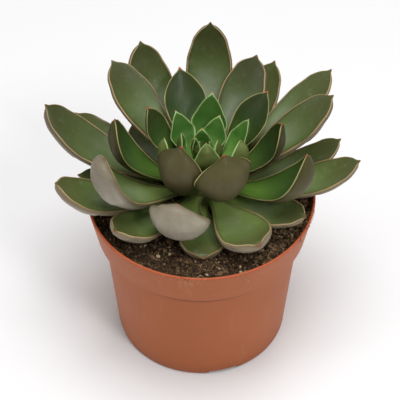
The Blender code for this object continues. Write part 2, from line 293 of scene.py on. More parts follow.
# %% [markdown]
# ## Dust and grime
# Everything that stands in soil gets a little of it on. It could be painted as an image, but then
# every piece would need its own. One group makes a fine irregular mask from noise instead, and
# each surface takes it in its own amount and grain. The pot uses it on its collar.

# %% Dust group
def dust_group():
    tree, inside, out = new_group(
        "dust_specks",
        [("Amount", "NodeSocketFloat"), ("Speck Scale", "NodeSocketFloat")],
        [("Mask", "NodeSocketFloat")],
    )
    place = object_place(tree)
    fine = add_node(tree, "ShaderNodeTexNoise", {"Vector": place, "Detail": 2.0})
    tree.links.new(inside.outputs["Speck Scale"], fine.inputs["Scale"])
    patches = speckle(tree, place, 45.0, 4.0)
    both = calc(tree, "MULTIPLY", fine.outputs["Fac"], patches)
    specks = fade(tree, both, 0.34, 0.44)
    mask = calc(tree, "MULTIPLY", specks, inside.outputs["Amount"], clamp=True)
    tree.links.new(mask, out.inputs["Mask"])
    return tree


DUST = dust_group()


def dust(tree, amount, speck_scale):
    node = add_node(tree, "ShaderNodeGroup", node_tree=DUST)
    node.inputs["Amount"].default_value = amount
    node.inputs["Speck Scale"].default_value = speck_scale
    return node.outputs["Mask"]


print("dust group nodes:", len(DUST.nodes))

# %% [markdown]
# ## Leaves: read the solid ones
# Each solid leaf is a coarse loft: a pole at the tip and eleven rings of eight corners behind it.
# The finished leaf has to follow it exactly, so the rings are read back from the mesh. Counting
# edges outwards from the tip puts every corner in its ring. In each ring the two corners that
# stand farthest apart are the margins, and the deepest corner is the keel on the underside.
# Smoothing the solid with a Subdivision Surface would be quicker, but it shrinks a coarse shape
# and rounds off the thin margin.

# %% Rings of a solid leaf
RING_CORNERS = 8
RINGS = 11


def layers_from(bm, start):
    """Corners grouped by how many edges they are from the start."""
    layers, seen = [[start]], {start}
    while layers[-1]:
        ring = []
        for vert in layers[-1]:
            for edge in vert.link_edges:
                other = edge.other_vert(vert)
                if other not in seen:
                    seen.add(other)
                    ring.append(other)
        layers.append(ring)
    return layers[:-1]


def solid_rings(node):
    """The tip point and the rings of a solid leaf, from its foot to its tip."""
    bm = bmesh.new()
    bm.from_mesh(frame["nodes"][node].data)
    bmesh.ops.remove_doubles(bm, verts=bm.verts, dist=1e-6)
    for vert in bm.verts:
        layers = layers_from(bm, vert)
        if [len(ring) for ring in layers[: RINGS + 1]] == [1] + [RING_CORNERS] * RINGS:
            tip = np.array(vert.co)
            rings = [np.array([corner.co for corner in ring]) for ring in layers[RINGS:0:-1]]
            bm.free()
            return tip, rings
    raise RuntimeError(f"{node} has no rings")


def ring_facts(ring):
    """Middle of the margins, direction across, direction up, half width, dish and depth."""
    gaps = np.linalg.norm(ring[:, None] - ring[None], axis=2)
    a, b = np.unravel_index(gaps.argmax(), gaps.shape)
    middle = (ring[a] + ring[b]) / 2.0
    across = (ring[b] - ring[a]) / gaps[a, b]
    rest = np.delete(ring, [a, b], axis=0) - middle
    sideways = rest @ across
    off = rest - np.outer(sideways, across)
    keel = off[np.linalg.norm(off, axis=1).argmax()]
    up = -keel / np.linalg.norm(keel)
    central = off[np.argsort(np.abs(sideways))[:2]] @ up
    return middle, across, up, gaps[a, b] / 2.0, -central.max(), -central.min()


LEAF_NODES = sorted(name for name in frame["nodes"] if name.startswith("leaf_"))
slot_of = {part["node"]: part["material_slot"] for part in frame["record"]["subparts"]}
print(len(LEAF_NODES), "leaves, the first has", len(solid_rings(LEAF_NODES[0])[1]), "rings")

# %% [markdown]
# ## Leaves: loft the finished ones
# A succulent leaf is plump below and dished above, with a thin rounded margin, a soft channel
# along the middle and a small hard point at the end. It could be sculpted, but there are 44 of
# them, and a rule makes them all and keeps each in its place. The rings give the big shape. A
# smooth curve through them gives many more stations along the leaf.

# %% Smooth curve through values
def through(knots, values, at):
    """A smooth cubic through the values at the knots, read at other places."""
    values = np.asarray(values, float)
    flat = values.reshape(len(knots), -1)
    slopes = np.gradient(flat, knots, axis=0)
    i = np.clip(np.searchsorted(knots, at, side="right") - 1, 0, len(knots) - 2)
    gap = (knots[i + 1] - knots[i])[:, None]
    t = ((at - knots[i]) / (knots[i + 1] - knots[i]))[:, None]
    made = flat[i] * (2 * t**3 - 3 * t**2 + 1) + flat[i + 1] * (3 * t**2 - 2 * t**3)
    made += gap * (slopes[i] * (t**3 - 2 * t**2 + t) + slopes[i + 1] * (t**3 - t**2))
    return made.reshape((len(at),) + values.shape[1:])


middle_value = through(np.array([0.0, 1.0, 2.0]), [0.0, 1.0, 0.0], np.array([0.5]))[0]
print("a curve through 0, 1 and 0 is at", round(float(middle_value), 3), "half way to the 1")

# %% Stations and shape of a leaf
AROUND = 48
ALONG = 44
TIP_STATIONS = 12
TIP_SHARE = 0.12
MARGIN_CROWDING = 0.35
MARGIN_RADIUS = 0.40 * MM
POINT_LENGTH = 1.7 * MM
POINT_HALF = 0.45 * MM
FOOT_REACH = 1.4 * MM
NOSE_START = 0.66
CHANNEL_DEPTH = 0.24 * MM
VEIN_DEPTH = 0.07 * MM
MARGIN_WANDER = 0.55 * MM
FACE_WANDER = 0.22 * MM
WIDTH_WANDER = 0.020
# by age: where the end of the outline starts, how round it may be, how far the belly goes beyond
# the margin, width and plumpness of the end
AGE_SHAPE = {
    "leaf_outer": (0.80, 1.0, 0.40, 1.00, 1.25),
    "leaf_middle": (0.66, 0.50, 0.0, 1.03, 0.70),
    "leaf_inner": (0.50, 0.42, 0.0, 1.14, 0.90),
}

# angles round a section: corners crowd towards the two margins
turns = np.arange(AROUND) * 2.0 * math.pi / AROUND
turns = turns - MARGIN_CROWDING * np.sin(2.0 * turns)
# places along a leaf: even up to the end, then closer and closer to the tip
to_the_tip = np.linspace(1.0, 0.0, TIP_STATIONS + 1)[1:]
STATIONS = np.append(np.linspace(0.0, 1.0 - TIP_SHARE, ALONG), 1.0 - TIP_SHARE * to_the_tip**1.4)
print("stations along a leaf:", len(STATIONS), "corners round it:", AROUND)


# %% [markdown]
# Every station needs its middle, its directions across and up, its half width, how far the upper
# face is dished and how deep the belly is. The coarse rings make the end of a leaf too angular, so
# its outline is drawn again there: as a clean point on the young leaves, or as a round end with a
# short point where the solid one is blunt.

# %% Guide curves of a leaf
def wander(seed, x, y):
    """Slow noise between -1 and 1, other for every leaf."""
    return noise.noise(Vector((seed * 7.31 + x, y, seed * 1.7)))


def smooth_share(values):
    """0 to 1 with a soft start and end."""
    share = np.clip(values, 0.0, 1.0)
    return share * share * (3.0 - 2.0 * share)


def leaf_guides(node):
    """Centre line, directions, half widths, dish and depth of a leaf at every station."""
    tip, rings = solid_rings(node)
    facts = [ring_facts(ring) for ring in rings]
    for before, after in zip(facts, facts[1:]):
        if np.dot(before[1], after[1]) < 0.0:
            after[1][:] *= -1.0
    middle, across, up, half, dish, deep = (np.array(item) for item in zip(*facts))
    tangent = middle[1] - middle[0]
    middle[0] -= FOOT_REACH * tangent / np.linalg.norm(tangent)
    end = tip + POINT_LENGTH * (tip - middle[-1]) / np.linalg.norm(tip - middle[-1])
    middle = np.vstack([middle, end])
    across, up = np.vstack([across, across[-1]]), np.vstack([up, up[-1]])
    half, dish, deep = np.append(half, 0.0), np.append(dish, 0.0), np.append(deep, 0.0)
    run = np.append(0.0, np.cumsum(np.linalg.norm(np.diff(middle, axis=0), axis=1)))
    spots = STATIONS * run[-1]
    lines = [through(run, values, spots) for values in (middle, across, up)]
    sizes = [np.clip(through(run, values, spots), 0.0, None) for values in (half, dish, deep)]
    return lines, sizes, run[-1], end


def end_drawn_again(halves, end_start, roundest):
    """Half widths with the outline beyond the last broad part made a clean point or round."""
    broad = np.interp(end_start, STATIONS, halves)
    beyond = np.clip((STATIONS - end_start) / (1.0 - end_start), 0.0, 1.0)
    blunt = (np.interp(0.94, STATIONS, halves) / broad - 0.40) / 0.32
    blunt = np.clip(blunt, 0.0, roundest)
    pointed, rounded = 1.0 - beyond**1.9, np.sqrt(1.0 - beyond**2)
    outline = broad * ((1.0 - blunt) * pointed + blunt * rounded)
    share = smooth_share(beyond / 0.45)
    return halves * (1.0 - share) + outline * share


longest = max(leaf_guides(node)[2] for node in LEAF_NODES)
print("longest leaf:", round(longest / MM, 1), "mm along its middle")

# %% [markdown]
# A section is a ring of corners, close together at the two margins, where the surface turns
# quickly. Upper face, margin and belly are heights above or below the line from margin to margin.
# Slow noise is added to all of them, because nothing that has grown is quite even.

# %% Points of a leaf
def leaf_points(node, seed):
    """Points of the finished leaf, ring by ring, with what the material needs to know of them."""
    (centres, sides, ups), (halves, dishes, depths), length, end = leaf_guides(node)
    end_start, roundest, bulge, widen, fill = AGE_SHAPE[slot_of[node]]
    halves = end_drawn_again(halves * widen, end_start, roundest)
    widest = halves.max()
    plump = fill * np.interp(NOSE_START, STATIONS, depths - dishes)
    points, facts = [], []
    for s, centre, side, above, wide, dip, depth in zip(
        STATIONS, centres, sides, ups, halves, dishes, depths
    ):
        to_tip = (1.0 - s) * length
        # the sides run in concave to a short hard point
        carve = 1.0 - 0.32 * math.exp(-(((to_tip / widest - 0.16) / 0.17) ** 2))
        point_half = POINT_HALF * min(1.0, to_tip / (2.2 * MM))
        wide = max(wide * carve, point_half)
        # the end is plump like the bowl of a spoon, and only the point itself is thin
        into_nose = max(s - NOSE_START, 0.0) / (1.0 - NOSE_START)
        nose = plump * math.sqrt(max(0.0, 1.0 - into_nose**2)) if s > NOSE_START else 0.0
        thick = max(depth - dip, min(nose, 0.75 * wide), 1.1 * point_half)
        dip = min(dip, 0.45 * wide)
        keel_power = 2.7 - 0.5 * s
        bead = math.sqrt(MARGIN_RADIUS * min(wide, 6.0 * MM))
        body = min(1.0, wide / widest) * min(1.0, 4.0 * s)
        for turn in turns:
            u, lift = math.cos(turn), math.sin(turn)
            v = -dip * (1.0 - u * u)
            if lift < 0.0:
                v -= thick * (1.0 - abs(u) ** keel_power)
            # a rounded margin
            v += bead * lift * math.exp(-((lift / 0.25) ** 2)) * min(1.0, wide / (2.0 * MM))
            # a channel down the middle of the upper face, and faint veins beside it
            if lift > 0.0:
                v -= CHANNEL_DEPTH * body * math.exp(-((u / 0.20) ** 2))
                v += VEIN_DEPTH * body * math.cos(9.0 * u)
            # nothing on a grown leaf is quite straight
            margin = math.copysign(1.0, u)
            v += MARGIN_WANDER * body * u * u * wander(seed, s * 5.0, margin)
            v += FACE_WANDER * body * wander(seed + 0.5, s * 9.0, u * 2.0)
            spread = wide * (1.0 + WIDTH_WANDER * body * wander(seed + 0.8, s * 6.0, 3.0 * margin))
            # the belly swells out beyond the margin, so the margin lies inside the outline
            swell = bulge * max(0.0, -lift) * min(1.0, 3.0 * s) * min(1.0, wide / (3.0 * MM))
            sideways = u * spread * (1.0 + swell)
            points.append(centre + side * sideways + above * v)
            off_margin = math.hypot(abs(sideways) - spread, v)
            below = 0.5 - 0.5 * max(-1.0, min(1.0, lift / 0.12))
            facts.append((s, u, off_margin / MM, to_tip / MM, below))
    return np.array(points), np.array(facts), centres[0], end


first_leaf = leaf_points(LEAF_NODES[0], 0)[0]
print("points of the first leaf:", len(first_leaf))

# %% [markdown]
# A leaf's mesh is a tube of four-sided faces closed by a fan at the foot and one at the point.
# Next to the corners it stores what the colours depend on, as attributes: how far along the leaf
# a spot is, how far it is from the margin and from the tip in millimetres, and which face it is.
# A UV map could say the same, but attributes come straight from the loft and need no unwrapping.

# %% Tubes and pieces
def closed_tube(name, points, around, first_pole, last_pole):
    """A mesh of rings of points with a pole at each end, faces outwards."""
    rows = len(points) // around
    last = (rows - 1) * around
    verts = [tuple(point) for point in points] + [tuple(first_pole), tuple(last_pole)]
    faces = []
    for row in range(rows - 1):
        for i in range(around):
            j = (i + 1) % around
            here, there = row * around, (row + 1) * around
            faces.append((here + i, here + j, there + j, there + i))
    foot, point = len(points), len(points) + 1
    for i in range(around):
        j = (i + 1) % around
        faces.append((foot, j, i))
        faces.append((point, last + i, last + j))
    mesh = bpy.data.meshes.new(name)
    mesh.from_pydata(verts, [], faces)
    bm = bmesh.new()
    bm.from_mesh(mesh)
    bmesh.ops.recalc_face_normals(bm, faces=bm.faces)
    bm.to_mesh(mesh)
    bm.free()
    mesh.shade_smooth()
    return mesh


def store(mesh, label, values):
    """Keeps one number for each corner of a mesh, for its material to read."""
    attribute = mesh.attributes.new(label, "FLOAT", "POINT")
    attribute.data.foreach_set("value", np.asarray(values, np.float32))


def place_piece(name, mesh, slot, *nodes):
    """Links a finished mesh as a piece that rides on the part and stands for its solid nodes."""
    piece = bpy.data.objects.new(name, mesh)
    scene_items.link(piece)
    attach(piece, BODY)
    if nodes:
        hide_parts(*nodes)
    return piece


print("tube and piece helpers are ready")

# %% Build the leaves
LEAF_ATTRIBUTES = ("along", "across", "to_margin", "to_tip", "underside")
# what the two poles of a leaf store, in that order: the first is its foot, the second its point
POLE_FACTS = np.array([[0.0, 0.0, 9.0, 90.0, 0.5], [1.0, 0.0, 0.0, 0.0, 0.5]])

leaves = {}
for number, node in enumerate(LEAF_NODES):
    points, facts, foot, end = leaf_points(node, number)
    # the last ring is shrunk to the point, so the pole can take its place
    points, facts = points[:-AROUND], facts[:-AROUND]
    mesh = closed_tube(node + "_blade", points, AROUND, foot, end)
    for label, values in zip(LEAF_ATTRIBUTES, np.vstack([facts, POLE_FACTS]).T):
        store(mesh, label, values)
    leaves[node] = place_piece(node + "_blade", mesh, slot_of[node], node)
print("leaf corners:", sum(len(leaf.data.vertices) for leaf in leaves.values()))

# %% [markdown]
# ## Leaf finish
# On the real plant the upper face is dark olive green and brighter towards the foot, the margin
# is a thin pale line that turns pink with sun, and the point is red. A wax bloom makes the
# undersides of the old leaves whitish, while the steep young ones show a brown blush below. It
# could be a painted texture for each leaf. A group that mixes it all from the attributes keeps to
# the same rules on every leaf and still gives each its own spots.

# %% Attributes and sums
LEAF_COLOURS = ("Face", "Sun", "Foot", "Wax", "Under", "Bloom", "Margin", "Tip")
LEAF_AMOUNTS = ("Bloom Amount", "Wax Amount", "Margin Width", "Tip Length")
VEINS = 34.0


def attribute(tree, label):
    return add_node(tree, "ShaderNodeAttribute", attribute_name=label).outputs["Fac"]


def times(tree, *values, clamp=False):
    """The product of all the values."""
    product = values[0]
    for value in values[1:-1]:
        product = calc(tree, "MULTIPLY", product, value)
    return calc(tree, "MULTIPLY", product, values[-1], clamp=clamp)


def between(tree, low, share, value):
    """low where the value is 0, and low plus the share where it is 1."""
    return calc(tree, "ADD", low, calc(tree, "MULTIPLY", value, share))


print("colours of a leaf:", ", ".join(LEAF_COLOURS))


# %% Upper face and underside
def upper_face(tree, given, place, along, across, to_margin, blush, clouds, rubbed):
    """Greener towards the foot, olive brown towards the end and along the margins, with a painted
    sheen on the middle of the face.
    """
    low = calc(tree, "ADD", fade(tree, along, 0.66, 0.22), calc(tree, "MULTIPLY", clouds, 0.30))
    low = calc(tree, "SUBTRACT", low, 0.15, clamp=True)
    upper = blend_colours(tree, low, given["Face"], given["Foot"])
    outer = calc(tree, "MAXIMUM", fade(tree, along, 0.56, 0.90), fade(tree, to_margin, 2.6, 0.6))
    outer = times(tree, outer, between(tree, 0.40, 0.45, blush))
    upper = blend_colours(tree, outer, upper, given["Sun"])
    mottle = fade(tree, speckle(tree, place, 240.0, 5.0, 0.7), 0.52, 0.74)
    upper = blend_colours(tree, times(tree, mottle, 0.13), upper, given["Wax"])
    # painted sheen: a pale patch in the wax colour on the middle of the face, stronger at the back
    inward = fade(tree, calc(tree, "ABSOLUTE", across), 0.95, 0.25)
    sheen_patch = times(tree, fade(tree, along, 0.26, 0.42), fade(tree, along, 0.76, 0.50), inward)
    sheen_strength = times(tree, given["Wax Amount"], attribute(tree, "sheen_share"))
    sheen_patch = times(tree, sheen_patch, sheen_strength, between(tree, 0.55, 0.45, rubbed), clamp=True)
    return blend_colours(tree, sheen_patch, upper, given["Wax"])


def under_face(tree, given, along, across, to_margin, tone_and_shade, blush, rubbed):
    """Brown where the sun reaches it, whitened by bloom on the belly."""
    under = blend_colours(tree, fade(tree, along, 0.52, 0.12), given["Under"], given["Foot"])
    belly = times(tree, fade(tree, to_margin, 0.3, 4.0), fade(tree, along, 0.34, 0.72))
    belly = times(tree, belly, between(tree, 0.22, 0.78, fade(tree, along, 0.96, 0.68)))
    belly = times(tree, belly, between(tree, 0.70, 0.30, rubbed))
    # painted sheen: the bloom is lighter in lengthwise streaks, a painted streaky highlight
    stretched = {"X": across, "Y": calc(tree, "MULTIPLY", along, 0.35), "Z": tone_and_shade}
    run = add_node(tree, "ShaderNodeCombineXYZ", stretched).outputs["Vector"]
    streaks = fade(tree, speckle(tree, run, 5.0, 3.0), 0.38, 0.62)
    belly = times(tree, belly, between(tree, 0.84, 0.16, streaks))
    belly = times(tree, belly, given["Bloom Amount"], blush, clamp=True)
    return blend_colours(tree, belly, under, given["Bloom"])


print("amounts of a leaf:", ", ".join(LEAF_AMOUNTS))


# %% Leaf colour group
def leaf_group():
    tree, inside, out = new_group(
        "waxy_leaf",
        [(label, "NodeSocketColor") for label in LEAF_COLOURS]
        + [(label, "NodeSocketFloat") for label in LEAF_AMOUNTS],
        [
            ("Color", "NodeSocketColor"),
            ("Roughness", "NodeSocketFloat"),
            ("Height", "NodeSocketFloat"),
        ],
    )
    given = inside.outputs
    place = object_place(tree)
    along, across = attribute(tree, "along"), attribute(tree, "across")
    to_margin, to_tip = attribute(tree, "to_margin"), attribute(tree, "to_tip")
    tone_and_shade, blush = attribute(tree, "tone_and_shade"), attribute(tree, "blush")
    underside = attribute(tree, "underside")
    clouds = speckle(tree, place, 60.0, 4.0)
    rubbed = fade(tree, speckle(tree, place, 110.0, 5.0, 0.65), 0.30, 0.66)
    upper = upper_face(tree, given, place, along, across, to_margin, blush, clouds, rubbed)
    under = under_face(tree, given, along, across, to_margin, tone_and_shade, blush, rubbed)
    skin = blend_colours(tree, underside, upper, under)

    # each leaf a little lighter or darker than the next, with painted shade on the leaves at the
    # back
    shade = between(tree, 0.58, 0.92, tone_and_shade)
    bright = add_node(tree, "ShaderNodeCombineColor", {"Red": shade, "Green": shade, "Blue": shade})
    skin = blend_colours(tree, 1.0, skin, bright.outputs["Color"], "MULTIPLY")

    # thin margin line, a little broken, then the point and a few pale specks
    uneven = between(tree, 0.55, 0.90, speckle(tree, place, 160.0))
    line = calc(tree, "DIVIDE", to_margin, times(tree, uneven, given["Margin Width"]))
    line = times(tree, fade(tree, line, 1.5, 0.5), fade(tree, along, 0.10, 0.40))
    skin = blend_colours(tree, times(tree, line, 0.80), skin, given["Margin"])
    reached = calc(tree, "DIVIDE", to_tip, given["Tip Length"])
    point = times(tree, fade(tree, reached, 1.0, 0.35), 0.85)
    skin = blend_colours(tree, point, skin, given["Tip"])
    specks = fade(tree, speckle(tree, place, 900.0, 1.0), 0.70, 0.77)
    skin = blend_colours(tree, times(tree, specks, 0.25), skin, given["Wax"])
    tree.links.new(skin, out.inputs["Color"])

    dull = calc(tree, "ADD", between(tree, 0.31, 0.14, rubbed), times(tree, underside, 0.16))
    tree.links.new(dull, out.inputs["Roughness"])
    # soft dents, fine cells and faint lengthwise veins
    cells = speckle(tree, place, 1500.0, 2.0)
    veins = calc(tree, "SINE", times(tree, across, VEINS))
    height = calc(tree, "ADD", times(tree, cells, 0.5), times(tree, veins, 0.10))
    height = calc(tree, "ADD", height, times(tree, clouds, 2.0))
    tree.links.new(height, out.inputs["Height"])
    return tree


WAXY_LEAF = leaf_group()
print("leaf group nodes:", len(WAXY_LEAF.nodes))

# %% [markdown]
# The leaves come in three ages. Old ones are dull olive with a white belly, the middle ones darker
# and brown below, and the young ones in the heart are bright green with pale margins. A material
# for each age places the group with its own colours. Inside one age every leaf also gets its own
# tone, with painted shade on those at the back, its own amount of painted sheen and its blush,
# dealt with a fixed seed.

# %% Leaf materials
LEAF_BUMP = 0.12 * MM


def leaf_material(slot, palette, gloss, **amounts):
    material, tree, shader = new_material(
        slot, 0.4, Specular_IOR_Level=gloss, Coat_Weight=0.4 * gloss, Coat_Roughness=0.20
    )
    group = add_node(tree, "ShaderNodeGroup", node_tree=WAXY_LEAF)
    for label, value in palette.items():
        group.inputs[label].default_value = colour(*value)
    for label, value in amounts.items():
        group.inputs[label.replace("_", " ")].default_value = value
    tree.links.new(group.outputs["Color"], shader.inputs["Base Color"])
    tree.links.new(group.outputs["Roughness"], shader.inputs["Roughness"])
    raised(tree, shader, group.outputs["Height"], LEAF_BUMP, 0.6)
    return material


print("leaf bump is", round(LEAF_BUMP / MM, 2), "mm deep")

# %% Colours of the three ages
OLD = {
    "Face": (84, 102, 50),
    "Sun": (70, 72, 40),
    "Foot": (110, 128, 64),
    "Wax": (148, 158, 136),
    "Under": (104, 92, 70),
    "Bloom": (176, 170, 155),
    "Margin": (176, 146, 100),
    "Tip": (120, 76, 52),
}
MIDDLE = {
    "Face": (52, 76, 32),
    "Sun": (60, 68, 34),
    "Foot": (88, 122, 46),
    "Wax": (84, 100, 64),
    "Under": (60, 58, 24),
    "Bloom": (120, 108, 82),
    "Margin": (170, 162, 108),
    "Tip": (176, 62, 46),
}
YOUNG = {
    "Face": (66, 114, 42),
    "Sun": (88, 130, 56),
    "Foot": (126, 172, 80),
    "Wax": (104, 140, 82),
    "Under": (92, 106, 48),
    "Bloom": (112, 114, 76),
    "Margin": (178, 204, 136),
    "Tip": (190, 92, 70),
}
# palette, gloss, bloom, painted sheen, margin width in millimetres and length of the coloured tip
LEAF_AGES = {
    "leaf_outer": (OLD, 0.24, 1.0, 0.85, 0.33, 1.8),
    "leaf_middle": (MIDDLE, 0.14, 0.50, 0.30, 0.58, 2.0),
    "leaf_inner": (YOUNG, 0.22, 0.3, 0.20, 0.70, 1.3),
}
LEAF_LOOKS = {
    slot: leaf_material(
        slot, palette, gloss, Bloom_Amount=bloom, Wax_Amount=sheen_amount, Margin_Width=width, Tip_Length=tip
    )
    for slot, (palette, gloss, bloom, sheen_amount, width, tip) in LEAF_AGES.items()
}
print("leaf materials:", ", ".join(LEAF_LOOKS))

# %% Every leaf its own tone
BACK_REACH = 20.0 * MM
chooser = random.Random(41)
OLDEST_COUNT = sum(slot == "leaf_outer" for slot in slot_of.values())
tones = []
for number, (node, leaf) in enumerate(leaves.items()):
    mesh = leaf.data
    mesh.materials.append(LEAF_LOOKS[slot_of[node]])
    centre = sum((vert.co for vert in mesh.vertices), Vector()) / len(mesh.vertices)
    # the oldest leaves are the palest; those at the back get painted shade and more painted sheen
    back = 0.5 + 0.5 * max(-1.0, min(1.0, centre.y / BACK_REACH))
    oldness = 1.0 - min(1.0, number / OLDEST_COUNT) ** 2
    tone_and_shade = 0.25 * chooser.random() + 0.30 * (1.0 - back) + 0.45 * oldness
    sheen_share = (0.25 + 0.75 * chooser.random()) * (0.25 + 0.75 * back)
    blush = 0.74 + 0.26 * chooser.random()
    for label, value in (("tone_and_shade", tone_and_shade), ("sheen_share", sheen_share), ("blush", blush)):
        store(mesh, label, [value] * len(mesh.vertices))
    tones.append(tone_and_shade)
print("leaf tones from", round(min(tones), 2), "to", round(max(tones), 2))

# %% [markdown]
# ## Stem
# The stem is a short thick core that carries the leaves. Little of it shows, but old leaf scars
# ring it above the soil, so its radius ripples as it rises. Its outline is a few pairs of height
# and radius, as shares of the solid stem's. A Screw modifier would turn such an outline too, but
# then the scars couldn't wind round it.

# %% Stem
STEM_SHAPE = (
    (0.0, 0.62),
    (0.25, 0.80),
    (0.42, 0.95),
    (0.58, 1.0),
    (0.70, 0.94),
    (0.83, 0.74),
    (0.93, 0.47),
    (0.99, 0.20),
)
STEM_ROWS, STEM_AROUND = 60, 40
SCAR_DEPTH = 0.25 * MM
BARK_DEPTH = 0.20 * MM


def turned_points(profile, around, ripple):
    """Points of a turned shape, ring by ring, from (radius, z) pairs in metres."""
    points = []
    for radius, z in profile:
        for i in range(around):
            turn = 2.0 * math.pi * i / around
            wide = radius + ripple(turn, z)
            points.append((wide * math.cos(turn), wide * math.sin(turn), z))
    return points


stem_low, stem_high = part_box("stem")
STEM_RADIUS = (stem_high.x - stem_low.x) / 2.0
shares = np.linspace(0.0, STEM_SHAPE[-1][0], STEM_ROWS)
radii = np.interp(shares, *zip(*STEM_SHAPE)) * STEM_RADIUS
heights = stem_low.z + shares * (stem_high.z - stem_low.z)


def scars(turn, z):
    """How far the bark stands out: leaf scars wind round the stem, and it is rough all over."""
    rough = noise.noise(Vector((3.0 * math.cos(turn), 3.0 * math.sin(turn), z / MM * 0.4)))
    return SCAR_DEPTH * math.sin(z / MM * 2.6 + 2.0 * turn) + BARK_DEPTH * rough


stem_points = turned_points(list(zip(radii, heights)), STEM_AROUND, scars)
stem_foot, stem_top = (0.0, 0.0, heights[0]), (0.0, 0.0, stem_high.z)
stem_mesh = closed_tube("stem_core", stem_points, STEM_AROUND, stem_foot, stem_top)
place_piece("stem_core", stem_mesh, slot_of["stem"], "stem")
STEM, tree, shader = new_material("stem_tissue", 0.6)
bark = speckle(tree, object_place(tree), 420.0, 5.0)
bark_colour = blend_colours(tree, bark, colour(96, 84, 50), colour(118, 132, 72))
tree.links.new(bark_colour, shader.inputs["Base Color"])
raised(tree, shader, bark, 0.4 * MM)
stem_mesh.materials.append(STEM)
print("stem corners:", len(stem_mesh.vertices))

# %% [markdown]
# ## Pot
# The pot is injection moulded in one piece: a thin tapering wall, a taller collar that steps
# outwards so that pots can be stacked, a rounded lip, a foot ring with four drainage notches and
# holes in the floor. A turned profile gives the shell, with arcs where the mould has radii. The
# notches and holes are cut out with Booleans, because a turned shape can't have them.

# %% Pot profile
pot_low, pot_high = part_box("pot")
RIM_R = (pot_high.x - pot_low.x) / 2.0
POT_H = pot_high.z
WALL = 1.4 * MM
COLLAR_Z, SHOULDER_Z = 74.0 * MM, 69.0 * MM
COLLAR_R, SHOULDER_R, BASE_R = 56.3 * MM, 52.3 * MM, 46.8 * MM
FLOOR_Z, FOOT_WIDTH = 3.6 * MM, 4.2 * MM
BASE_ROUND, CORNER_ROUND, STEP_ROUND = 2.0 * MM, 1.8 * MM, 0.8 * MM
HOLE_RING = 24.0 * MM
AROUND_POT = 176


def arc(r, z, radius, start, end, steps=6):
    """Points of an arc in the profile's plane, angles in degrees."""
    angles = np.radians(np.linspace(start, end, steps + 1))
    return [(r + radius * math.cos(a), z + radius * math.sin(a)) for a in angles]


def straight(first, last, steps):
    """Even points between two ends, without the ends."""
    across, up = last[0] - first[0], last[1] - first[1]
    return [(first[0] + across * i / steps, first[1] + up * i / steps) for i in range(1, steps)]


def pot_profile():
    """One loop: up the outside, over the lip, down the inside, across the floor and the foot."""
    lip = WALL / 2.0
    base = arc(BASE_R - BASE_ROUND, BASE_ROUND, BASE_ROUND, -75.0, -3.0)
    shoulder = arc(SHOULDER_R + 1.0 * MM, SHOULDER_Z + 1.6 * MM, 1.0 * MM, 180.0, 112.0, 4)
    step = arc(COLLAR_R - STEP_ROUND, COLLAR_Z - 0.2 * MM, STEP_ROUND, -72.0, 0.0, 5)
    rim = arc(RIM_R - lip, POT_H - lip, lip, -10.0, 190.0, 12)
    outside = base + straight(base[-1], shoulder[0], 14) + shoulder + step
    outside += straight(step[-1], rim[0], 6) + rim
    under_step = (COLLAR_R - WALL - 0.3 * MM, COLLAR_Z + 0.6 * MM)
    inner_shoulder = (SHOULDER_R - WALL, SHOULDER_Z)
    inside = straight(rim[-1], under_step, 6) + [under_step, inner_shoulder]
    floor_top = FLOOR_Z + WALL
    corner_r, corner_z = BASE_R - WALL - CORNER_ROUND, floor_top + CORNER_ROUND
    corner = arc(corner_r, corner_z, CORNER_ROUND, 0.0, -90.0, 4)
    inside += straight(inner_shoulder, corner[0], 8) + corner
    inside += [(HOLE_RING, floor_top), (0.0, floor_top), (0.0, FLOOR_Z), (HOLE_RING, FLOOR_Z)]
    foot_in = BASE_R - FOOT_WIDTH
    inside += [(foot_in - 1.2 * MM, FLOOR_Z), (foot_in - 0.5 * MM, FLOOR_Z - 0.4 * MM)]
    return outside + inside + [(foot_in, 0.0)]


profile = pot_profile()
print("pot profile points:", len(profile), "rim across:", round(2.0 * RIM_R / MM, 1), "mm")

# %% Turn the profile
AXIS_REACH = 1e-9


def spun(name, loop, around):
    """A closed loop of (radius, z) points turned about Z. Points on the axis become one corner."""
    bm = bmesh.new()
    columns = []
    for r, z in loop:
        if r < AXIS_REACH:
            columns.append([bm.verts.new((0.0, 0.0, z))] * around)
        else:
            angles = [2.0 * math.pi * i / around for i in range(around)]
            columns.append([bm.verts.new((r * math.cos(a), r * math.sin(a), z)) for a in angles])
    for first, second in zip(columns, columns[1:] + columns[:1]):
        for i in range(around):
            j = (i + 1) % around
            corners = list(dict.fromkeys((first[i], first[j], second[j], second[i])))
            if len(corners) > 2:
                bm.faces.new(corners)
    bmesh.ops.recalc_face_normals(bm, faces=bm.faces)
    mesh = bpy.data.meshes.new(name)
    bm.to_mesh(mesh)
    bm.free()
    return mesh


pot_turned = spun("pot_blank", profile, AROUND_POT)
print("turned pot faces:", len(pot_turned.polygons))

# %% Cut the holes and notches
HOLE_RADIUS = 3.6 * MM
HOLE_DISTANCE_MM = 33.0
HOLE_COUNT = 8
HOLE_CUT = 6.0 * MM
FIRST_HOLE, FIRST_NOTCH = 22.5, -75.0
NOTCH_DEEP, NOTCH_WIDE, NOTCH_TALL = 12.0 * MM, 18.0 * MM, 5.2 * MM
NOTCH_TAPER = 0.86


